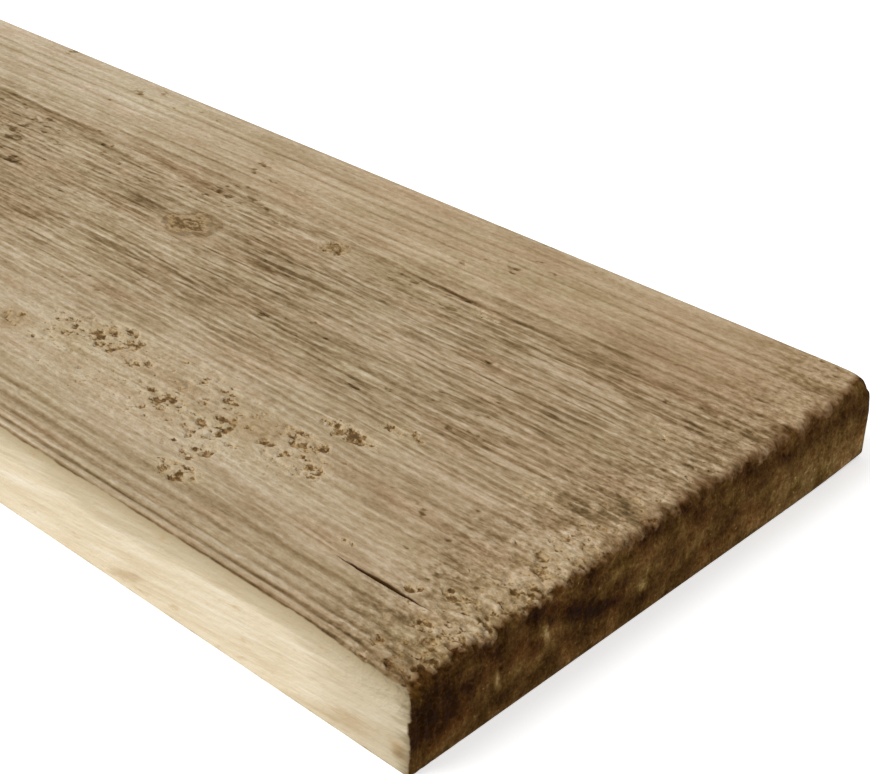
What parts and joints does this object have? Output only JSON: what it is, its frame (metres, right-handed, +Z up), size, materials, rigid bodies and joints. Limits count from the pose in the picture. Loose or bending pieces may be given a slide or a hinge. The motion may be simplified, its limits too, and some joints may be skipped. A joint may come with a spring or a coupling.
{
  "type": "timber plank",
  "caption": "Weathered sawn softwood plank with eased arrises, worn end corners and a short drying check; stock that lies flat and is nailed or screwed down.",
  "frame": {"origin": "middle of the bottom face, on the surface that the plank lies on", "axes": "+X along the grain towards the worn end, +Y across the board from the front edge to the back edge, +Z up out of the top face"},
  "size_m": [1, 0.2, 0.027],
  "materials": {
    "weathered_spruce": "weathered and brushed by wear on the wide faces, planed pale on the long edges, dark end grain"
  },
  "bodies": {
    "root": {"plank": "weathered_spruce"}
  },
  "joints": []
}
